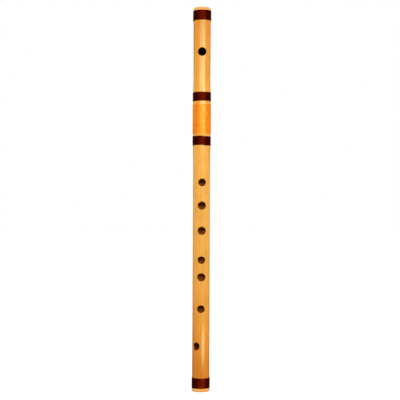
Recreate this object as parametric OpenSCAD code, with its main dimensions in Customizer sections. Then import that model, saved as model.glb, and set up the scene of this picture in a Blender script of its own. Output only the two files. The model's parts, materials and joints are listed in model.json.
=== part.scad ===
// Transverse bamboo flute of the bansuri type: one bored bamboo tube, four
// thread bindings, a thread-wound grip over the bamboo's node, and a sliding
// stopper cork. Millimetres. The foot's end face is at z = 0, the bore runs up
// +Z to the head, and the mouth hole and finger holes open towards -Y.

/* [Tube] */
// Length of the bamboo tube, from foot to head
tube_len = 482; // [400:1:580]
// Diameter of the air column, from the foot to just past the mouth hole
bore_d = 16.5; // [13.5:0.1:20]
// Thickness of the bamboo's wall at the waist, where the tube is slimmest
wall = 2.4; // [2:0.05:3.5]
// Growth of the outer radius from the waist to the foot
foot_flare = 0.28; // [0:0.02:0.6]
// Growth of the outer radius from the waist to the head
head_flare = 0.25; // [0:0.02:0.6]
// Growth of the outer radius under the two rings beside the grip
ring_swell = 0.32; // [0.1:0.02:0.6]
// Growth of the outer radius at the node, under the grip
node_swell = 0.54; // [0.1:0.02:0.9]
// Length over which the swelling dies out on the foot side of the rings
swell_run_low = 26; // [12:1:34]
// Length over which the swelling dies out on the head side of the rings
swell_run_high = 12; // [6:1:16]
// Rounding of the outer edge at the head
head_round = 1.9; // [0.4:0.1:2.4]
// Rounding of the outer edge at the foot
foot_round = 1.2; // [0.4:0.1:2]
// Bevel of the bore's edge at both ends
bore_bevel = 0.35; // [0.1:0.05:0.6]

/* [Mouth hole] */
// Distance from the head end to the middle of the mouth hole
head_to_mouth = 56.4; // [46:0.1:68]
// Diameter of the mouth hole
mouth_d = 10.4; // [8:0.1:12.6]
// Turn of the mouth hole about the bore, positive towards +X, in degrees
mouth_turn = 0.6; // [-3:0.1:3]

/* [Finger holes] */
// Upper hand: distance below the mouth hole, as shares of the sounding length
upper_at = [0.3849, 0.453, 0.527]; // [0.36:0.0001:0.56]
// Upper hand: diameters
upper_d = [9.4, 10, 10]; // [7:0.1:12]
// Upper hand: turns about the bore, positive towards +X, in degrees
upper_turn = [4.2, 3.5, 2.6]; // [-5:0.1:5]
// Lower hand: distance below the mouth hole, as shares of the sounding length
lower_at = [0.613, 0.6633, 0.7566]; // [0.58:0.0001:0.8]
// Lower hand: diameters
lower_d = [9.2, 10, 9.4]; // [7:0.1:12]
// Lower hand: turns about the bore, positive towards +X, in degrees
lower_turn = [0.9, 1, -1]; // [-5:0.1:5]

/* [Tuning hole] */
// Distance below the mouth hole, as a share of the sounding length
tuning_at = 0.8661; // [0.84:0.0001:0.89]
// Width of the tuning hole across the tube
tuning_d = 8.7; // [7:0.1:11]
// Amount by which the tuning hole is filed longer than it is wide, along the tube
tuning_file = 0.9; // [0.2:0.1:2]
// Turn of the tuning hole about the bore, in degrees
tuning_turn = -33; // [-40:1:40]
// Radius of the nick that is chipped out of the tuning hole's lower edge
nick_r = 0.8; // [0.3:0.1:1.1]
// Direction of the nick, from straight down towards -X, in degrees
nick_turn = 24; // [0:1:60]

/* [Windings] */
// Diameter of the thread of the four bindings
thread_d = 0.65; // [0.4:0.05:0.9]
// Diameter of the silk of the grip
silk_d = 0.38; // [0.25:0.01:0.6]
// Width of the binding at the foot
foot_binding_w = 13; // [6:0.1:16]
// Width of the binding at the head
head_binding_w = 12.6; // [6:0.1:16]
// Width of the ring below the grip
lower_ring_w = 11.6; // [6:0.1:14]
// Width of the ring above the grip
upper_ring_w = 11.3; // [6:0.1:14]
// Width of the grip
grip_w = 37.3; // [20:0.1:46]
// Bare bamboo between the grip and the ring above it
upper_gap = 3.8; // [1:0.05:6]
// Bare bamboo between the grip and the ring below it
lower_gap = 2.95; // [1:0.05:6]
// Bare bamboo outside the binding at the foot
foot_bare = 4.1; // [2.5:0.1:8]
// Bare bamboo outside the binding at the head
head_bare = 4; // [2.5:0.1:8]
// Middle of the grip: distance below the mouth hole, as a share of the sounding length
grip_at = 0.1975; // [0.19:0.0001:0.2]

/* [Stopper] */
// How much narrower the stopper's seat is than the air column, on the radius
seat_step = 0.25; // [0.1:0.05:0.6]
// Length of the stopper cork
stopper_len = 16; // [10:0.5:20]
// Distance from the middle of the mouth hole to the stopper's face
mouth_to_stopper = 17.4; // [14:0.1:21]
// Running clearance between the stopper and its seat, on the radius
stopper_clear = 0.04; // [0.02:0.01:0.1]
// Bevel of the stopper's edges
stopper_bevel = 0.6; // [0.2:0.1:1.2]
// Bare bore between the mouth hole's edge and the start of the seat
seat_margin = 1.4; // [0.5:0.1:1.5]
// Length over which the bore tapers from its own diameter to the seat's
seat_taper = 2.6; // [1:0.1:3]

/* [Hidden] */

// Radii of the tube. The wall is measured from the air column.
bore_r = bore_d / 2;
seat_r = bore_r - seat_step;
waist_r = bore_r + wall;
foot_r = waist_r + foot_flare;
head_r = waist_r + head_flare;
ring_r = waist_r + ring_swell;
node_r = waist_r + node_swell;
// An end's rounding takes at most this share of its face
rounded_share = 0.7;
head_edge = min(head_round, rounded_share * (head_r - seat_r));
foot_edge = min(foot_round, rounded_share * (foot_r - bore_r));

// Heights above the foot
mouth_z = tube_len - head_to_mouth;
function below_mouth(share) = mouth_z * (1 - share);
seat_start = mouth_z + mouth_d / 2 + seat_margin;
seat_z = seat_start + seat_taper;
stopper_z = mouth_z + mouth_to_stopper;
foot_binding_z = foot_bare;
head_binding_z = tube_len - head_bare - head_binding_w;
grip_z = below_mouth(grip_at) - grip_w / 2;
upper_ring_z = grip_z + grip_w + upper_gap;
upper_ring_top = upper_ring_z + upper_ring_w;
lower_ring_z = grip_z - lower_gap - lower_ring_w;

// Tone holes, from head to foot: [height, diameter, turn]
mouth_hole = [mouth_z, mouth_d, mouth_turn];
finger_holes = [
    for (i = [0 : 2]) [below_mouth(upper_at[i]), upper_d[i], upper_turn[i]],
    for (i = [0 : 2]) [below_mouth(lower_at[i]), lower_d[i], lower_turn[i]]
];
tuning_hole = [below_mouth(tuning_at), tuning_d, tuning_turn];
drill_len = node_r + 5;

// Resolution of the round parts and of the profile's curves
$fn = 96;
edge_steps = 8;
curve_steps = 10;
// Straight run at the waist, between two of the profile's curves
waist_run = 1;
// A thread is pressed flat where it lies on the bamboo, and neighbouring turns touch
thread_sink = 0.06;
thread_spacing = 0.94;
thread_sides = 8;

// Points of a quarter circle about a centre, from one angle to the next
function arc(cx, cz, r, from, to) = [
    for (i = [0 : edge_steps])
        let (a = from + (to - from) * i / edge_steps)
            [cx + r * cos(a), cz + r * sin(a)]
];

// Points of a smooth S-curve between two radii, with upright ends
function s_curve(r0, z0, r1, z1) = [
    for (i = [0 : curve_steps])
        let (t = i / curve_steps)
            [r0 + (r1 - r0) * (1 - cos(180 * t)) / 2, z0 + (z1 - z0) * t]
];

// Half section of the tube: up the outside, over the head's rim, and down the bore
module tube_section() {
    outside = concat(
        arc(foot_r - foot_edge, foot_edge, foot_edge, -90, 0),
        s_curve(foot_r, foot_binding_z + foot_binding_w, waist_r, lower_ring_z - swell_run_low),
        s_curve(waist_r, lower_ring_z - swell_run_low + waist_run, ring_r, lower_ring_z),
        s_curve(ring_r, lower_ring_z + lower_ring_w, node_r, grip_z),
        s_curve(node_r, grip_z + grip_w, ring_r, upper_ring_z),
        s_curve(ring_r, upper_ring_top, waist_r, upper_ring_top + swell_run_high),
        s_curve(waist_r, upper_ring_top + swell_run_high + waist_run, head_r, head_binding_z),
        arc(head_r - head_edge, tube_len - head_edge, head_edge, 0, 90)
    );
    inside = [
        [seat_r + bore_bevel, tube_len],
        [seat_r, tube_len - bore_bevel],
        [seat_r, seat_z],
        [bore_r, seat_start],
        [bore_r, bore_bevel],
        [bore_r + bore_bevel, 0]
    ];
    polygon(concat(outside, inside));
}

// Places its children on the axis of a hole: their +Z runs out of the tube and their +Y towards the head
module at_hole(hole) {
    rotate([0, 0, hole[2]]) translate([0, 0, hole[0]]) rotate([90, 0, 0]) children();
}

// A drill from the middle of the bore to outside the tube
module hole_drill(hole) {
    at_hole(hole) cylinder(d = hole[1], h = drill_len);
}

// The tuning hole: drilled, then filed longer, with a chip out of its lower edge
module tuning_cut() {
    at_hole(tuning_hole) {
        for (end = [-1, 1]) translate([0, end * tuning_file / 2, 0]) cylinder(d = tuning_d, h = drill_len);
        translate([-tuning_d / 2, -tuning_file / 2, 0]) cube([tuning_d, tuning_file, drill_len]);
        translate([0, -tuning_file / 2, 0])
            rotate([0, 0, -nick_turn])
                translate([0, -tuning_d / 2, 0])
                    cylinder(r = nick_r, h = drill_len, $fn = 32);
    }
}

module bamboo_tube() {
    color("burlywood")
        difference() {
            rotate_extrude() tube_section();
            hole_drill(mouth_hole);
            for (hole = finger_holes) hole_drill(hole);
            tuning_cut();
        }
}

module stopper_cork() {
    r = seat_r - stopper_clear;
    top = stopper_z + stopper_len;
    color("peru")
        rotate_extrude()
            polygon([
                [0, stopper_z],
                [r - stopper_bevel, stopper_z],
                [r, stopper_z + stopper_bevel],
                [r, top - stopper_bevel],
                [r - stopper_bevel, top],
                [0, top]
            ]);
}

// Thread wound side by side on a seat of the tube: one round for each turn, with an eight-sided section
module binding(z, width, on_r) {
    turns = ceil((width - thread_d) / (thread_spacing * thread_d)) + 1;
    pitch = (width - thread_d) / (turns - 1);
    crown_r = on_r + thread_d * (1 - thread_sink);
    half_flat = thread_d / 2 * tan(180 / thread_sides);
    edge_r = crown_r - (thread_d / 2 - half_flat);
    groove_r = crown_r - (pitch / 2 - half_flat);
    crowns = [
        for (i = [0 : turns - 1])
            let (middle = z + thread_d / 2 + i * pitch)
                each [
                    if (i > 0) [groove_r, middle - pitch / 2],
                    [crown_r, middle - half_flat],
                    [crown_r, middle + half_flat]
                ]
    ];
    bottom = [[on_r, z], [edge_r, z]];
    top = [[edge_r, z + width], [on_r, z + width]];
    rotate_extrude() polygon(concat(bottom, crowns, top));
}

module head_binding() {
    color("maroon") binding(head_binding_z, head_binding_w, head_r);
}

module upper_ring() {
    color("maroon") binding(upper_ring_z, upper_ring_w, ring_r);
}

// The grip's silk is too fine to show its turns, so they are one sleeve with bevelled ends
module grip_winding() {
    outer_r = node_r + silk_d * (1 - thread_sink);
    bevel = silk_d / 3;
    color("darkorange")
        rotate_extrude()
            polygon([
                [node_r, grip_z],
                [outer_r - bevel, grip_z],
                [outer_r, grip_z + bevel],
                [outer_r, grip_z + grip_w - bevel],
                [outer_r - bevel, grip_z + grip_w],
                [node_r, grip_z + grip_w]
            ]);
}

module lower_ring() {
    color("maroon") binding(lower_ring_z, lower_ring_w, ring_r);
}

module foot_binding() {
    color("maroon") binding(foot_binding_z, foot_binding_w, foot_r);
}

bamboo_tube();
stopper_cork();
head_binding();
upper_ring();
grip_winding();
lower_ring();
foot_binding();
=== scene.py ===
"""A bamboo flute standing on its foot in a plain studio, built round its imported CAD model.

Everything is in metres, in the CAD's frame: the bore runs up +Z from the foot at z = 0, and the mouth
hole and the finger holes open towards -Y. A turn about the bore is measured from -Y towards +X.
"""

import json
import math
import random

import bpy
import numpy as np
from mathutils import Euler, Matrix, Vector, noise


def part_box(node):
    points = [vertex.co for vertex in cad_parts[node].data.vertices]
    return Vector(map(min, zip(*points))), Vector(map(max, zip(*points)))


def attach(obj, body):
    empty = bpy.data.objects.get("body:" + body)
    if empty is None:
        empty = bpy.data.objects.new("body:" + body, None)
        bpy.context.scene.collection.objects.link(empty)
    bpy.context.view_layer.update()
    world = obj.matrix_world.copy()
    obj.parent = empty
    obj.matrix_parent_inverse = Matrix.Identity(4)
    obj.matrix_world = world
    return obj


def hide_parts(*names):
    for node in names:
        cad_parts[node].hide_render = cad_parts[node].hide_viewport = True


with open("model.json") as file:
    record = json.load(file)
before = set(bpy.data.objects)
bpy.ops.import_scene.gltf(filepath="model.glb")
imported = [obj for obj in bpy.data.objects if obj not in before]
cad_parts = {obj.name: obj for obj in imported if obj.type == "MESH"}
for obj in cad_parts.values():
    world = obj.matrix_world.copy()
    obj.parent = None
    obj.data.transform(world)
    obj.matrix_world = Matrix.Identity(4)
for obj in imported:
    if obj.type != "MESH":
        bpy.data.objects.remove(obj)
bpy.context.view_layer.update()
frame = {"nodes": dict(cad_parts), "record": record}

MM = 0.001
TAU = 2 * math.pi

# ---------------------------------------------------------------------------------------------
# What the frame says
# ---------------------------------------------------------------------------------------------

record = frame["record"]
openings = {o["name"]: np.array(o["box_m"]) for o in record["physics"]["openings"]}
bore_mount = next(m for m in record["mounts"] if m["name"] == "foot_bore")
BORE_R = bore_mount["dims"]["r_mm"] * MM
TUBE_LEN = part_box("bamboo_tube")[1][2]
# A radius inside the wall, between the bevel of the bore and the flat of the end faces
WALL_SPLIT = BORE_R + 0.45 * MM


def cad_points(node):
    """The vertices of a CAD node, as an array of rows (x, y, z)."""
    mesh = frame["nodes"][node].data
    flat = np.empty(len(mesh.vertices) * 3)
    mesh.vertices.foreach_get("co", flat)
    return flat.reshape(-1, 3)


tube_points = cad_points("bamboo_tube")


def back_profile(outside):
    """Heights and radii along the tube's outside or its bore, read off its back, which has no holes."""
    back = tube_points[tube_points[:, 1] > 0.1 * BORE_R]
    radius = np.hypot(back[:, 0], back[:, 1])
    chosen = radius > WALL_SPLIT if outside else radius < WALL_SPLIT
    height, radius = back[chosen, 2].round(6), radius[chosen]
    heights = np.unique(height)
    best = max if outside else min
    return heights, np.array([best(radius[height == h]) for h in heights])


outer_z, outer_r = back_profile(outside=True)
inner_z, inner_r = back_profile(outside=False)


def natural(z, turn):
    """The bamboo's own unevenness: a slow departure from a true round, in metres."""
    lobes = 1.1
    wave = 55 * MM
    at = Vector((lobes * math.sin(turn), lobes * math.cos(turn), z / wave))
    return 0.06 * MM * noise.noise(at)


def outside_radius(z, turn):
    return np.interp(z, outer_z, outer_r) + natural(z, turn)


def bore_radius(z, turn):
    return np.interp(z, inner_z, inner_r)


def on_tube(radius, turn, z):
    """The point at that radius, turn and height."""
    return (radius * math.sin(turn), -radius * math.cos(turn), z)


# ---------------------------------------------------------------------------------------------
# Holes
# ---------------------------------------------------------------------------------------------


class Hole:
    """A round hole through the wall, read off the opening that the record states for it."""

    def __init__(self, name, stretch=0.0, nick=None, soot_and_shade=0.8, soot_and_shade_reach=2 * MM):
        low, high = openings[name]
        middle = (low + high) / 2
        wall_middle = (BORE_R + np.interp(middle[2], outer_z, outer_r)) / 2
        self.turn = math.asin(middle[0] / wall_middle)
        self.z = middle[2]
        # How much longer the hole is than it is wide, and its chip: (direction, size, half width)
        self.stretch = stretch
        self.nick = nick
        # How dark the bore is painted behind the hole, and how far that reaches up and down: soot at the
        # mouth hole, painted shade at the finger and tuning holes
        self.soot_and_shade = soot_and_shade
        self.soot_and_shade_reach = soot_and_shade_reach
        self.radius = self.cad_radius()
        self.phase = 7 * self.z / TUBE_LEN

    def cad_radius(self):
        """Distance from the hole's axis to the nearest CAD vertex in front of the bore's middle."""
        out = np.array([math.sin(self.turn), -math.cos(self.turn), 0])
        side = np.array([math.cos(self.turn), math.sin(self.turn), 0])
        front = tube_points[tube_points @ out > 0.5 * BORE_R]
        return float(np.hypot(front @ side, front[:, 2] - self.z).min())

    def outline(self, angle, grow):
        """(distance across the tube, distance up it) of the hole's edge at an angle, grown by a width.

        The edge is slightly out of round. Across the tube lies at angle 0 and up it at 90 degrees.
        """
        uneven = 0.004 * math.sin(2 * angle + self.phase) + 0.003 * math.sin(3 * angle - self.phase)
        r = self.radius * (1 + uneven) + grow
        if self.nick:
            direction, size, half_width = self.nick
            off = (angle - direction + math.pi) % TAU - math.pi
            r += size * math.exp(-((off / half_width) ** 2))
        # A filed hole is two half rounds with a straight between them
        lift = self.stretch / 2 * max(-1.0, min(1.0, 2.5 * math.sin(angle)))
        return r * math.cos(angle), r * math.sin(angle) + lift

    def point(self, angle, grow, radius_of, depth=0.0):
        """A point of the hole's wall or of the surface round it, depth metres in from that surface."""
        across, up = self.outline(angle, grow)
        z = self.z + up
        near_turn = self.turn + math.asin(across / BORE_R)
        out = math.sqrt(radius_of(z, near_turn) ** 2 - across**2) - depth
        x = out * math.sin(self.turn) + across * math.cos(self.turn)
        y = -out * math.cos(self.turn) + across * math.sin(self.turn)
        return (x, y, z)


NICK_DIRECTION = math.radians(-90 - 24)
NICK = (NICK_DIRECTION, 1.0 * MM, 0.18)
# Each hole darkens the bore behind it: soot at the mouth hole, painted shade at the finger and tuning holes
holes = [Hole("mouth_hole", soot_and_shade=1.0, soot_and_shade_reach=32 * MM)]
holes += [Hole(f"finger_hole_{i}") for i in range(1, 7)]
holes.append(Hole("tuning_hole", stretch=0.9 * MM, nick=NICK, soot_and_shade=0.9, soot_and_shade_reach=6 * MM))

# ---------------------------------------------------------------------------------------------
# The tube's mesh: rings round the bore, with a patch of rings round each hole
# ---------------------------------------------------------------------------------------------

# The tube has COLUMNS faces round it. A hole's patch is PATCH_COLUMNS by PATCH_ROWS of its places, reaches
# PATCH_HALF up and down from the hole, and closes in on it in PATCH_RINGS rings.
COLUMNS = 96
PATCH_COLUMNS = 28
PATCH_ROWS = 24
PATCH_HALF = 8 * MM
ROW_STEP = 2.0 * MM
PATCH_RINGS = 7
# Radii of a hole's edges, and the rings over an edge and down the wall
EDGE_ROUND = 0.22 * MM
INNER_EDGE_ROUND = 0.2 * MM
ROUND_STEPS = 4
WALL_RINGS = 5
# How far round a hole the skin is browned, and how far above a hole the bore's soot and painted shade are
# darkest
HALO = 1.2 * MM
SOOT_AND_SHADE_RISE = 1.6 * MM
# Rings across the cut face of an end
END_RINGS = 5


class Mesh:
    """Vertices, faces and named values per vertex, gathered before they go into one Blender mesh."""

    def __init__(self, *value_names):
        self.points = []
        self.faces = []
        self.values = {name: [] for name in value_names}

    def add(self, point, **values):
        self.points.append(point)
        for name, column in self.values.items():
            column.append(values.get(name, 0.0))
        return len(self.points) - 1

    def strip(self, a, b):
        """Quads between two closed rings of equal length."""
        for i in range(len(a)):
            j = (i + 1) % len(a)
            self.faces.append((a[i], a[j], b[j], b[i]))

    def bare_faces(self):
        """Whether each face has no skin: it lies mostly in the bore, in a hole's wall or on an end."""
        bare = [max(v) for v in zip(self.values["bore"], self.values["burn"], self.values["cut"])]
        return [sum(bare[i] for i in face) / len(face) > 0.5 for face in self.faces]

    def finish(self, name, *materials, smooth=True):
        mesh = bpy.data.meshes.new(name)
        mesh.from_pydata(self.points, [], self.faces)
        for value_name, column in self.values.items():
            attribute = mesh.attributes.new(value_name, "FLOAT", "POINT")
            attribute.data.foreach_set("value", column)
        mesh.polygons.foreach_set("use_smooth", [smooth] * len(mesh.polygons))
        for material in materials:
            mesh.materials.append(material)
        if len(materials) > 1:
            mesh.polygons.foreach_set("material_index", self.bare_faces())
        mesh.validate()
        obj = bpy.data.objects.new(name, mesh)
        bpy.context.scene.collection.objects.link(obj)
        return obj


def filled(stops):
    """Heights from the first stop to the last, no further apart than ROW_STEP."""
    heights = [stops[0]]
    for a, b in zip(stops, stops[1:]):
        steps = max(1, math.ceil((b - a) / ROW_STEP - 1e-6))
        heights += [a + (b - a) * i / steps for i in range(1, steps + 1)]
    return heights


def row_heights(profile_z):
    """Heights of a surface's rows: the profile's own near the ends, even ones over each patch."""
    rim = 3 * MM
    first, last = profile_z[0], profile_z[-1]
    stops = {round(z, 7) for z in profile_z if z < first + rim or z > last - rim}
    for hole in holes:
        low = hole.z - PATCH_HALF
        stops |= {round(low + 2 * PATCH_HALF * i / PATCH_ROWS, 7) for i in range(PATCH_ROWS + 1)}
    return filled(sorted(stops))


def patch_frame(hole, rows):
    """First column and first row of a hole's patch."""
    column = round(hole.turn / TAU * COLUMNS) - PATCH_COLUMNS // 2
    row = int(np.argmin(abs(np.array(rows) - (hole.z - PATCH_HALF))))
    return column, row


def patch_rim(column, row):
    """Grid places round a patch, anticlockwise as seen from outside the tube."""
    c, r = PATCH_COLUMNS, PATCH_ROWS
    places = [(i, 0) for i in range(c)] + [(c, i) for i in range(r)]
    places += [(c - i, r) for i in range(c)] + [(0, r - i) for i in range(r)]
    return [((column + i) % COLUMNS, row + j, i, j) for i, j in places]


def smoke(z):
    """How dark the bore is painted at a height, darkest just above each hole: soot at the mouth hole,
    painted shade at the finger and tuning holes.
    """
    above = [(z - hole.z - SOOT_AND_SHADE_RISE) / hole.soot_and_shade_reach for hole in holes]
    return max(hole.soot_and_shade * math.exp(-(a**2)) for hole, a in zip(holes, above))


def add_surface(mesh, rows, radius_of, value):
    """The grid of vertices of the outside or the bore. Returns {(column, row): vertex}."""
    inside_patch = set()
    for hole in holes:
        column, row = patch_frame(hole, rows)
        inside_patch |= {
            ((column + i) % COLUMNS, row + j)
            for i in range(1, PATCH_COLUMNS)
            for j in range(1, PATCH_ROWS)
        }
    grid = {}
    for row, z in enumerate(rows):
        for column in range(COLUMNS):
            if (column, row) not in inside_patch:
                turn = TAU * column / COLUMNS
                point = on_tube(radius_of(z, turn), turn, z)
                grid[column, row] = mesh.add(point, **value, smoke=smoke(z))
    return grid


def add_grid_faces(mesh, rows, grid, upward):
    """Quads between rows, except inside the patches."""
    covered = set()
    for hole in holes:
        column, row = patch_frame(hole, rows)
        covered |= {
            ((column + i) % COLUMNS, row + j)
            for i in range(PATCH_COLUMNS)
            for j in range(PATCH_ROWS)
        }
    for row in range(len(rows) - 1):
        for column in range(COLUMNS):
            if (column, row) in covered:
                continue
            right = (column + 1) % COLUMNS
            quad = (grid[column, row], grid[right, row], grid[right, row + 1], grid[column, row + 1])
            mesh.faces.append(quad if upward else quad[::-1])


def add_hole(mesh, hole, outer_rows, outer_grid, inner_rows, inner_grid):
    """The rings from the outside's patch, over the hole's edge, down its wall and over the bore's patch."""
    column, row = patch_frame(hole, outer_rows)
    rim = patch_rim(column, row)
    middle_column = hole.turn / TAU * COLUMNS - column
    angles = []
    for _, _, i, j in rim:
        across = (i - middle_column) / (PATCH_COLUMNS / 2)
        angles.append(math.atan2(j / (PATCH_ROWS / 2) - 1, across))

    def surface_rings(rows, grid, radius_of, start_row, edge_round, value):
        """Rings from the patch's rim to the start of the rounded edge, the rim first."""
        first = [grid[c, start_row + j] for c, _, _, j in rim]
        rings = [first]
        for k in range(1, PATCH_RINGS + 1):
            # The rings lie closer together near the hole
            share = 1 - (1 - k / PATCH_RINGS) ** 1.25
            ring = []
            for n, (_, _, i, j) in enumerate(rim):
                turn = TAU * (column + i) / COLUMNS
                z = rows[start_row + j]
                across, up = hole.outline(angles[n], edge_round)
                edge_z = hole.z + up
                edge_turn = hole.turn + math.asin(across / radius_of(edge_z, hole.turn))
                t = turn + (edge_turn - turn) * share
                h = z + (edge_z - z) * share
                gap = (1 - share) * math.hypot(z - edge_z, (turn - edge_turn) * BORE_R)
                wear = max(0.0, 1 - gap / HALO) ** 2
                point = on_tube(radius_of(h, t), t, h)
                ring.append(mesh.add(point, **value, wear=wear, smoke=smoke(h)))
            rings.append(ring)
        return rings

    def edge_rings(radius_of, edge_round, sign):
        """Rings round a quarter circle, from the surface to the hole's wall."""
        rings = []
        for step in range(1, ROUND_STEPS + 1):
            a = math.pi / 2 * step / ROUND_STEPS
            grow = edge_round * (1 - math.sin(a))
            depth = sign * edge_round * (1 - math.cos(a))
            points = [hole.point(angle, grow, radius_of, depth) for angle in angles]
            rings.append([mesh.add(point, burn=1.0) for point in points])
        return rings

    inner_row = int(np.argmin(abs(np.array(inner_rows) - (hole.z - PATCH_HALF))))
    rings = surface_rings(outer_rows, outer_grid, outside_radius, row, EDGE_ROUND, {})
    rings += edge_rings(outside_radius, EDGE_ROUND, 1)
    outer_wall = [np.array(hole.point(a, 0, outside_radius, EDGE_ROUND)) for a in angles]
    inner_wall = [np.array(hole.point(a, 0, bore_radius, -INNER_EDGE_ROUND)) for a in angles]
    for k in range(1, WALL_RINGS):
        share = k / WALL_RINGS
        points = [tuple(a + (b - a) * share) for a, b in zip(outer_wall, inner_wall)]
        rings.append([mesh.add(point, burn=1.0) for point in points])
    rings += edge_rings(bore_radius, INNER_EDGE_ROUND, -1)[::-1]
    in_bore = {"bore": 1.0}
    rings += surface_rings(inner_rows, inner_grid, bore_radius, inner_row, INNER_EDGE_ROUND, in_bore)[::-1]
    for a, b in zip(rings, rings[1:]):
        mesh.strip(a, b)


def build_tube(skin, inside):
    """The bamboo tube, closed and hollow, with its holes and its two end faces."""
    mesh = Mesh("wear", "burn", "bore", "cut", "smoke")
    outer_rows = row_heights(outer_z)
    inner_rows = row_heights([z for z in inner_z if 0 < z < TUBE_LEN - 1e-6])
    outer_grid = add_surface(mesh, outer_rows, outside_radius, {})
    inner_grid = add_surface(mesh, inner_rows, bore_radius, {"bore": 1.0})
    add_grid_faces(mesh, outer_rows, outer_grid, upward=True)
    add_grid_faces(mesh, inner_rows, inner_grid, upward=False)
    for hole in holes:
        add_hole(mesh, hole, outer_rows, outer_grid, inner_rows, inner_grid)
    for top in (True, False):
        outer_row = len(outer_rows) - 1 if top else 0
        inner_row = len(inner_rows) - 1 if top else 0
        end_z = outer_rows[outer_row]
        outer_edge = np.interp(end_z, outer_z, outer_r)
        inner_edge = np.interp(end_z, inner_z, inner_r)
        rings = [[outer_grid[c, outer_row] for c in range(COLUMNS)]]
        for k in range(1, END_RINGS + 1):
            radius = outer_edge + (inner_edge - outer_edge) * k / END_RINGS
            turns = [TAU * c / COLUMNS for c in range(COLUMNS)]
            rings.append([mesh.add(on_tube(radius, turn, end_z), cut=1.0) for turn in turns])
        rings.append([inner_grid[c, inner_row] for c in range(COLUMNS)])
        for outer, inner in zip(rings, rings[1:]):
            pair = (outer, inner) if top else (inner, outer)
            mesh.strip(*pair)
    return mesh.finish("flute_tube", skin, inside)


# ---------------------------------------------------------------------------------------------
# Windings and stopper
# ---------------------------------------------------------------------------------------------


class Winding:
    """One long thread wound side by side on the tube, over the space that its CAD node holds."""

    # Shares of the thread's width: how deep it lies in the bamboo, and from one turn to the next
    PRESSED = 0.06
    SPACING = 0.94
    # The stretch at the end that lies back over the turns below it
    TAIL = math.radians(24)

    def __init__(self, node, thread, sides, steps, end_turn, seed, flatness=1.0):
        low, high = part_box(node)
        self.node = node
        self.thread = thread
        self.sides = sides
        self.steps = steps
        # Height of the outer half of the thread's section over half its width
        self.flatness = flatness
        self.end_turn = end_turn
        self.phases = [random.Random(seed).uniform(0, TAU) for _ in range(3)]
        first, last = low[2] + thread / 2, high[2] - thread / 2
        self.turns = math.ceil((last - first) / (self.SPACING * thread)) + 1
        # Half a turn runs past each end, behind, so that the thread fills the node's height in front
        spare = (last - first) / (self.turns - 1) / 2
        self.low, self.high = first - spare, last + spare

    def wander(self, angle):
        """A slow, repeatable unevenness between -1 and 1."""
        waves = ((0.5, 0.61), (0.3, 2.3), (0.2, 5.7))
        return sum(size * math.sin(rate * angle + p) for (size, rate), p in zip(waves, self.phases))

    def path(self):
        """Points along the thread's middle. Its last stretch lies back over the turns below it."""
        total = TAU * self.turns
        count = self.steps * self.turns
        points = []
        for i in range(count + 1):
            angle = total * i / count
            turn = self.end_turn + angle
            # The tail goes from 0 to 1 over the last stretch, as it climbs onto the turns and drops back
            tail = max(0.0, 1 - (total - angle) / self.TAIL)
            z = self.low + (self.high - self.low) * angle / total
            z += 0.035 * self.thread * self.wander(angle) - 1.3 * self.thread * tail**2
            radius = outside_radius(z, turn) + self.thread * (1 - self.PRESSED - self.flatness / 2)
            radius += 0.02 * self.thread * self.wander(1.7 * angle)
            radius += 0.85 * self.thread * min(1.0, 2.2 * tail)
            points.append(on_tube(radius, turn, z))
        return np.array(points)

    def build(self, material):
        path = self.path()
        along = np.gradient(path, axis=0)
        along /= np.linalg.norm(along, axis=1)[:, None]
        out = path * (1, 1, 0)
        out /= np.linalg.norm(out, axis=1)[:, None]
        across = np.cross(along, out)
        travelled = np.concatenate(([0], np.cumsum(np.linalg.norm(np.diff(path, axis=0), axis=1))))
        around = TAU * np.arange(self.sides) / self.sides
        # Both ends close over a short taper
        to_end = np.minimum(travelled, travelled[-1] - travelled)
        size = self.thread / 2 * np.sqrt(np.clip(to_end / (0.6 * self.thread), 0.04, 1))
        # The outer half is pressed to the flatness; the inner half reaches down to the bamboo
        outward = np.where(np.cos(around) > 0, self.flatness, 2 - self.flatness) * np.cos(around)
        rings = path[:, None] + size[:, None, None] * (
            outward[None, :, None] * out[:, None] + np.sin(around)[None, :, None] * across[:, None]
        )
        n, k = len(path), self.sides
        points = rings.reshape(-1, 3)
        faces, uvs = [], []
        for i in range(n - 1):
            for j in range(k):
                right = (j + 1) % k
                faces.append((i * k + j, i * k + right, (i + 1) * k + right, (i + 1) * k + j))
                a, b = travelled[i] / self.thread, travelled[i + 1] / self.thread
                uvs += [(a, j / k), (a, (j + 1) / k), (b, (j + 1) / k), (b, j / k)]
        for end, order in ((0, -1), (n - 1, 1)):
            faces.append(tuple(end * k + j for j in range(k))[::order])
            uvs += [(travelled[end] / self.thread, j / k) for j in range(k)][::order]
        mesh = bpy.data.meshes.new(self.node + "_thread")
        mesh.from_pydata(points.tolist(), [], faces)
        layer = mesh.uv_layers.new(name="Thread")
        layer.data.foreach_set("uv", [v for uv in uvs for v in uv])
        mesh.polygons.foreach_set("use_smooth", [True] * len(mesh.polygons))
        mesh.materials.append(material)
        obj = bpy.data.objects.new(self.node + "_thread", mesh)
        bpy.context.scene.collection.objects.link(obj)
        return obj


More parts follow.
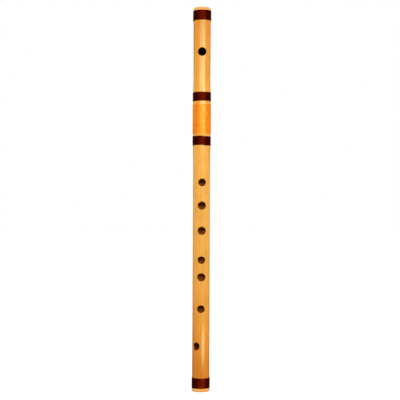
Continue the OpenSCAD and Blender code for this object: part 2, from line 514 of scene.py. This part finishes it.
def build_cork(material):
    """The stopper: a turned cork with a slightly pitted surface."""
    low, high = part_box("stopper_cork")
    radius = (high[0] - low[0]) / 2
    bevel = 0.6 * MM
    deepest_pit = 0.9 * MM
    columns, face_rings, side_rings = 72, 8, 20
    mesh = Mesh()

    def pitted(point, depth):
        p = Vector(point)
        pit = max(0.0, noise.noise(p * 900) - 0.18) + 0.4 * max(0.0, noise.noise(p * 2100) - 0.1)
        middle = Vector((0, 0, (low[2] + high[2]) / 2))
        return tuple(p + (middle - p).normalized() * pit * depth)

    profile = [(radius - bevel) * k / face_rings for k in range(1, face_rings + 1)]
    section = [(r, low[2]) for r in profile]
    side = high[2] - low[2] - 2 * bevel
    section += [(radius, low[2] + bevel + side * k / side_rings) for k in range(side_rings + 1)]
    section += [(r, high[2]) for r in reversed(profile)]
    rings = []
    for r, z in section:
        turns = [TAU * c / columns for c in range(columns)]
        rings.append([mesh.add(pitted(on_tube(r, turn, z), deepest_pit)) for turn in turns])
    for a, b in zip(rings, rings[1:]):
        mesh.strip(a, b)
    for ring, z, up in ((rings[0], low[2], False), (rings[-1], high[2], True)):
        centre = mesh.add((0, 0, z))
        for c in range(columns):
            pair = (ring[c], ring[(c + 1) % columns])
            mesh.faces.append((*pair, centre) if up else (centre, *reversed(pair)))
    return mesh.finish("stopper", material)


# ---------------------------------------------------------------------------------------------
# Materials
# ---------------------------------------------------------------------------------------------


def srgb(red, green, blue):
    """A colour given as 0 to 255 in sRGB, as Blender's linear RGBA."""
    channels = [c / 255 for c in (red, green, blue)]
    return tuple(c / 12.92 if c <= 0.04045 else ((c + 0.055) / 1.055) ** 2.4 for c in channels) + (1.0,)


class Shading:
    """A material's node tree, with short calls for the nodes used here."""

    def __init__(self, name, **constants):
        self.material = bpy.data.materials.new(name)
        self.material.use_nodes = True
        self.tree = self.material.node_tree
        self.surface = self.tree.nodes["Principled BSDF"]
        for key, value in constants.items():
            self.surface.inputs[key.replace("_", " ")].default_value = value

    def node(self, kind, **settings):
        node = self.tree.nodes.new("ShaderNode" + kind)
        for key, value in settings.items():
            setattr(node, key, value)
        return node

    def put(self, socket, value):
        """Links the value if it is a socket, or sets it."""
        if isinstance(value, bpy.types.NodeSocket):
            self.tree.links.new(value, socket)
        else:
            socket.default_value = value

    def own_place(self):
        return self.node("TexCoord").outputs["Object"]

    def stretched(self, place, scale):
        mapping = self.node("Mapping")
        self.put(mapping.inputs["Vector"], place)
        mapping.inputs["Scale"].default_value = scale
        return mapping.outputs["Vector"]

    def noise(self, place, scale, detail=2.0, roughness=0.5, distortion=0.0):
        node = self.node("TexNoise")
        self.put(node.inputs["Vector"], place)
        node.inputs["Scale"].default_value = scale
        node.inputs["Detail"].default_value = detail
        node.inputs["Roughness"].default_value = roughness
        node.inputs["Distortion"].default_value = distortion
        return node.outputs["Fac"]

    def cells(self, place, scale, output="Distance"):
        node = self.node("TexVoronoi")
        self.put(node.inputs["Vector"], place)
        node.inputs["Scale"].default_value = scale
        return node.outputs[output]

    def math(self, operation, *values):
        node = self.node("Math", operation=operation)
        for socket, value in zip(node.inputs, values):
            self.put(socket, value)
        return node.outputs[0]

    def span(self, value, low, high, to_low=0.0, to_high=1.0):
        """The value, from one range to another, held at its ends."""
        node = self.node("MapRange")
        for socket, v in zip(node.inputs, (value, low, high, to_low, to_high)):
            self.put(socket, v)
        return node.outputs[0]

    def ramp(self, value, stops):
        node = self.node("ValToRGB")
        self.put(node.inputs["Fac"], value)
        elements = node.color_ramp.elements
        while len(elements) < len(stops):
            elements.new(0.5)
        for element, (at, colour) in zip(elements, stops):
            element.position = at
            element.color = colour
        return node.outputs["Color"]

    def mix(self, share, a, b, blend="MIX"):
        node = self.node("Mix", data_type="RGBA", blend_type=blend)
        for name, value in (("Factor_Float", share), ("A_Color", a), ("B_Color", b)):
            self.put(next(i for i in node.inputs if i.identifier == name), value)
        return next(o for o in node.outputs if o.identifier == "Result_Color")

    def painted(self, name):
        """A value stored on the mesh's vertices."""
        return self.node("Attribute", attribute_name=name).outputs["Fac"]

    def height(self, place):
        node = self.node("SeparateXYZ")
        self.put(node.inputs[0], place)
        return node.outputs["Z"]

    def bump(self, value, distance, strength=1.0):
        node = self.node("Bump")
        self.put(node.inputs["Height"], value)
        node.inputs["Distance"].default_value = distance
        node.inputs["Strength"].default_value = strength
        self.put(self.surface.inputs["Normal"], node.outputs["Normal"])

    def colour(self, value):
        self.put(self.surface.inputs["Base Color"], value)

    def rough(self, value):
        self.put(self.surface.inputs["Roughness"], value)


def bamboo_fibres(s, place):
    """(fine, broad, patch): fibres that run along the culm, broader ones, and slow changes of tone."""
    fine = s.noise(s.stretched(place, (1, 1, 0.018)), 2600, detail=3, roughness=0.6)
    broad = s.noise(s.stretched(place, (1, 1, 0.03)), 620, detail=2)
    patch = s.noise(s.stretched(place, (1, 1, 0.4)), 75, detail=3, distortion=0.4)
    return fine, broad, patch


def bamboo_skin():
    """The culm's own waxy skin under a thin lacquer, deeper in colour towards the foot.

    It is paler outside the two bindings at its ends; at the foot that paleness is a painted highlight.
    """
    s = Shading(
        "bamboo_skin",
        IOR=1.72,
        Coat_Weight=0.2,
        Coat_Roughness=0.14,
        Specular_Tint=(0.62, 1.0, 0.52, 1.0),
    )
    place = s.own_place()
    height = s.span(s.height(place), 0.0, TUBE_LEN)
    skin = s.ramp(
        height,
        [
            # The first and last stops make the bare ends paler; at the foot this is a painted highlight
            (0.01, srgb(222, 156, 78)),
            (0.03, srgb(180, 105, 13)),
            (0.07, srgb(180, 105, 13)),
            (0.17, srgb(195, 126, 35)),
            (0.26, srgb(203, 138, 52)),
            (0.4, srgb(212, 151, 62)),
            (0.6, srgb(215, 151, 61)),
            (0.8, srgb(214, 144, 53)),
            (0.94, srgb(203, 128, 38)),
            (0.97, srgb(203, 128, 38)),
            (0.99, srgb(222, 158, 84)),
        ],
    )
    fine, broad, patch = bamboo_fibres(s, place)
    for share, low, high, most, tone in (
        (fine, 0.42, 0.68, 1.0, srgb(234, 225, 210)),
        (broad, 0.45, 0.75, 0.8, srgb(243, 234, 217)),
        (patch, 0.5, 0.8, 0.9, srgb(236, 218, 190)),
    ):
        skin = s.mix(s.span(share, low, high, 0, most), skin, s.mix(1.0, skin, tone, "MULTIPLY"))
    # Small brown flecks, only here and there
    fleck = s.span(s.cells(s.stretched(place, (1, 1, 0.5)), 420), 0.24, 0.1)
    chosen = s.span(s.noise(s.stretched(place, (1, 1, 0.5)), 190, detail=1), 0.57, 0.65)
    skin = s.mix(s.math("MULTIPLY", s.math("MULTIPLY", fleck, chosen), 0.7), skin, srgb(138, 74, 24))
    # The hot rod that burnt a hole has browned the skin close to it
    s.colour(s.mix(s.math("MULTIPLY", s.painted("wear"), 0.25), skin, srgb(150, 84, 24)))
    s.rough(s.span(s.math("ADD", fine, patch), 0.6, 1.4, 0.2, 0.3))
    s.bump(s.math("ADD", fine, s.math("MULTIPLY", broad, 0.6)), 0.03 * MM)
    return s.material


def bamboo_inside():
    """Bare bamboo: the bore's pith, the sawn ends and the scorched walls of the holes."""
    s = Shading("bamboo_inside", Specular_IOR_Level=0.15)
    place = s.own_place()
    fine, broad, patch = bamboo_fibres(s, place)
    pith = s.mix(s.span(broad, 0.35, 0.7), srgb(226, 140, 42), srgb(196, 110, 28))
    # The bore is painted near-black behind the holes: soot at the mouth hole, painted shade at the finger
    # and tuning holes
    pith = s.mix(s.painted("smoke"), pith, srgb(14, 6, 2))
    bundle = s.span(s.cells(s.stretched(place, (1, 1, 0.05)), 2100), 0.3, 0.14)
    sawn = s.mix(s.math("MULTIPLY", bundle, 0.7), srgb(238, 190, 118), srgb(146, 88, 38))
    scorched = s.mix(s.span(patch, 0.4, 0.7), srgb(116, 58, 14), srgb(80, 36, 8))
    colour = s.mix(s.painted("cut"), pith, sawn)
    s.colour(s.mix(s.painted("burn"), colour, scorched))
    s.rough(s.span(fine, 0.3, 0.7, 0.7, 0.85))
    s.bump(s.math("ADD", fine, broad), 0.05 * MM)
    return s.material


def thread_material(name, light, dark, shine, twist, roughness, ior):
    """Twisted thread. Its own UV runs along the thread in thread widths, and round it from 0 to 1."""
    s = Shading(name, IOR=ior, Specular_IOR_Level=1.0, Specular_Tint=shine)
    uv = s.node("SeparateXYZ")
    s.put(uv.inputs[0], s.node("UVMap", uv_map="Thread").outputs["UV"])
    along, around = uv.outputs["X"], uv.outputs["Y"]
    # Two plies lie round each other; a ply's crown is 1 and the groove between the plies is 0
    lay = s.math("ADD", s.math("MULTIPLY", along, TAU / twist), s.math("MULTIPLY", around, 2 * TAU))
    ply = s.math("ABSOLUTE", s.math("SINE", s.math("MULTIPLY", lay, 0.5)))
    place = s.own_place()
    fluff = s.noise(place, 5200, detail=2)
    age = s.noise(place, 170, detail=3)
    # The grooves between the plies are painted darker, a painted shade; the slow noise changes the tone at
    # random
    tone = s.math("MULTIPLY", s.span(ply, 0.0, 0.7, 0.55, 1.0), s.span(age, 0.3, 0.7, 0.7, 1.0))
    s.colour(s.mix(tone, dark, light))
    handled = s.noise(place, 60, detail=1)
    s.rough(s.span(s.math("ADD", fluff, handled), 0.65, 1.35, roughness - 0.06, roughness + 0.08))
    s.bump(s.math("ADD", ply, s.math("MULTIPLY", fluff, 0.35)), 0.05 * MM)
    return s.material


def cork_material():
    s = Shading("cork", Specular_IOR_Level=0.3)
    place = s.own_place()
    grain = s.noise(place, 1300, detail=4, roughness=0.65)
    granule = s.cells(place, 900, "Color")
    pore = s.span(s.cells(s.stretched(place, (1, 1, 0.5)), 520), 0.2, 0.08)
    body = s.mix(s.span(grain, 0.35, 0.7), srgb(196, 150, 100), srgb(158, 108, 64))
    body = s.mix(0.12, body, granule, "SOFT_LIGHT")
    s.colour(s.mix(s.math("MULTIPLY", pore, 0.8), body, srgb(84, 50, 26)))
    s.rough(s.span(grain, 0.3, 0.7, 0.72, 0.9))
    s.bump(s.math("SUBTRACT", grain, s.math("MULTIPLY", pore, 0.8)), 0.15 * MM)
    return s.material


def floor_material():
    s = Shading("studio_floor", Specular_IOR_Level=0.2)
    tone = s.noise(s.own_place(), 6, detail=2)
    s.colour(s.mix(tone, srgb(249, 249, 248), srgb(252, 252, 251)))
    s.rough(s.span(tone, 0.0, 1.0, 0.7, 0.8))
    return s.material


# ---------------------------------------------------------------------------------------------
# The flute
# ---------------------------------------------------------------------------------------------

maroon = thread_material(
    "binding_thread",
    light=srgb(38, 4, 0),
    dark=srgb(20, 2, 0),
    shine=(1.0, 0.05, 0.0, 1.0),
    twist=2.6,
    roughness=0.28,
    ior=2.2,
)
orange = thread_material(
    "grip_silk",
    light=srgb(255, 128, 2),
    dark=srgb(248, 102, 1),
    shine=(1.0, 1.0, 0.16, 1.0),
    twist=4.0,
    roughness=0.24,
    ior=2.8,
)

tube = build_tube(bamboo_skin(), bamboo_inside())
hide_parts("bamboo_tube")
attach(tube, "flute")

BINDING = {"thread": 0.65 * MM, "sides": 8, "steps": 96}
SILK = {"thread": 0.38 * MM, "sides": 8, "steps": 72, "flatness": 0.3}
windings = [
    Winding("head_binding", end_turn=math.radians(150), seed=1, **BINDING),
    Winding("upper_ring", end_turn=math.radians(205), seed=2, **BINDING),
    Winding("grip_winding", end_turn=math.radians(170), seed=3, **SILK),
    Winding("lower_ring", end_turn=math.radians(14), seed=4, **BINDING),
    Winding("foot_binding", end_turn=math.radians(118), seed=5, **BINDING),
]
for winding in windings:
    is_grip = winding.node == "grip_winding"
    wound = winding.build(orange if is_grip else maroon)
    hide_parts(winding.node)
    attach(wound, "flute")

cork = build_cork(cork_material())
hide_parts("stopper_cork")
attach(cork, "stopper")

# ---------------------------------------------------------------------------------------------
# Studio
# ---------------------------------------------------------------------------------------------

CAMERA_DISTANCE = 1.2594
CAMERA_X = -0.0018
CAMERA_Z = 0.2278
CAMERA_TILT = math.radians(0.55)
CAMERA_ROLL = math.radians(0.24)
CAMERA_LENS_MM = 90
SENSOR_MM = 36
FLOOR_HALF = 9.0
# The front softboxes hang level with each other, and are as tall as each other
FRONT_Z = 0.545
FRONT_TALL = 0.26


def build_floor():
    """A white floor that the lights reach but the flute's gloss doesn't show."""
    mesh = bpy.data.meshes.new("floor")
    corners = [(x * FLOOR_HALF, y * FLOOR_HALF, 0) for x, y in ((-1, -1), (1, -1), (1, 1), (-1, 1))]
    mesh.from_pydata(corners, [], [(0, 1, 2, 3)])
    mesh.materials.append(floor_material())
    floor = bpy.data.objects.new("floor", mesh)
    floor.visible_glossy = False
    bpy.context.scene.collection.objects.link(floor)


def soft_light(name, place, target, width, height, watts, glossy=True):
    """A softbox at a place, facing a target. It can be kept out of the object's gloss."""
    light = bpy.data.lights.new(name, "AREA")
    light.shape = "RECTANGLE"
    light.size, light.size_y = width, height
    light.energy = watts
    obj = bpy.data.objects.new(name, light)
    obj.location = place
    obj.rotation_euler = (Vector(target) - Vector(place)).to_track_quat("-Z", "Y").to_euler()
    obj.visible_camera = False
    obj.visible_glossy = glossy
    bpy.context.scene.collection.objects.link(obj)


def overhead_light(strength):
    """A wide ceiling light, which evens out the floor and grazes the upright tube."""
    light = bpy.data.lights.new("overhead", "SUN")
    light.energy = strength
    light.angle = math.radians(60)
    obj = bpy.data.objects.new("overhead", light)
    obj.location = (0, 0, 2)
    bpy.context.scene.collection.objects.link(obj)


def studio_world(ambient, reflected, backdrop):
    """An even white room: how bright it is as light, in the object's gloss, and behind the object."""
    world = bpy.data.worlds.new("studio")
    world.use_nodes = True
    tree = world.node_tree
    rays = tree.nodes.new("ShaderNodeLightPath")
    shader = None
    for strength, ray in ((ambient, None), (reflected, "Is Glossy Ray"), (backdrop, "Is Camera Ray")):
        background = tree.nodes.new("ShaderNodeBackground")
        background.inputs["Color"].default_value = (1, 1, 1, 1)
        background.inputs["Strength"].default_value = strength
        if ray:
            mix = tree.nodes.new("ShaderNodeMixShader")
            tree.links.new(rays.outputs[ray], mix.inputs[0])
            tree.links.new(shader, mix.inputs[1])
            tree.links.new(background.outputs[0], mix.inputs[2])
            shader = mix.outputs[0]
        else:
            shader = background.outputs[0]
    tree.links.new(shader, tree.nodes["World Output"].inputs["Surface"])
    bpy.context.scene.world = world


def place_camera():
    """A long lens a little below the flute's middle, tipped up to it."""
    data = bpy.data.cameras.new("camera")
    data.lens = CAMERA_LENS_MM
    data.sensor_width = SENSOR_MM
    data.clip_start = 0.01
    camera = bpy.data.objects.new("camera", data)
    camera.location = (CAMERA_X, -CAMERA_DISTANCE, CAMERA_Z)
    level = Euler((math.radians(90) + CAMERA_TILT, 0, 0)).to_quaternion()
    roll = Euler((0, 0, CAMERA_ROLL)).to_quaternion()
    camera.rotation_euler = (level @ roll).to_euler()
    bpy.context.scene.collection.objects.link(camera)
    bpy.context.scene.camera = camera


build_floor()
# The key lies as a soft band down the upper flute, and the box beside it lifts the band's right side
soft_light("key_softbox", (0.2, -1.2, FRONT_Z), (0.2, 0, FRONT_Z), 1.9, FRONT_TALL, watts=5.95)
soft_light("right_softbox", (0.56, -1.06, FRONT_Z), (0, 0, FRONT_Z), 0.87, FRONT_TALL, watts=1.8)
# A small strip close to the foot draws the narrow highlight there
soft_light("foot_strip", (0.056, -0.106, 0.043), (0, 0, 0.043), 0.08, 0.042, watts=0.038)
# One even fill on each side, which leaves no reflection
for side, x in (("left", -1.3), ("right", 1.3)):
    soft_light(side + "_fill", (x, 0, 0.6), (0, 0, 0.25), 2.0, 1.5, watts=8, glossy=False)
overhead_light(strength=0.9)
studio_world(ambient=0.87, reflected=0.08, backdrop=1.0)
place_camera()
bpy.context.scene.view_settings.view_transform = "Standard"
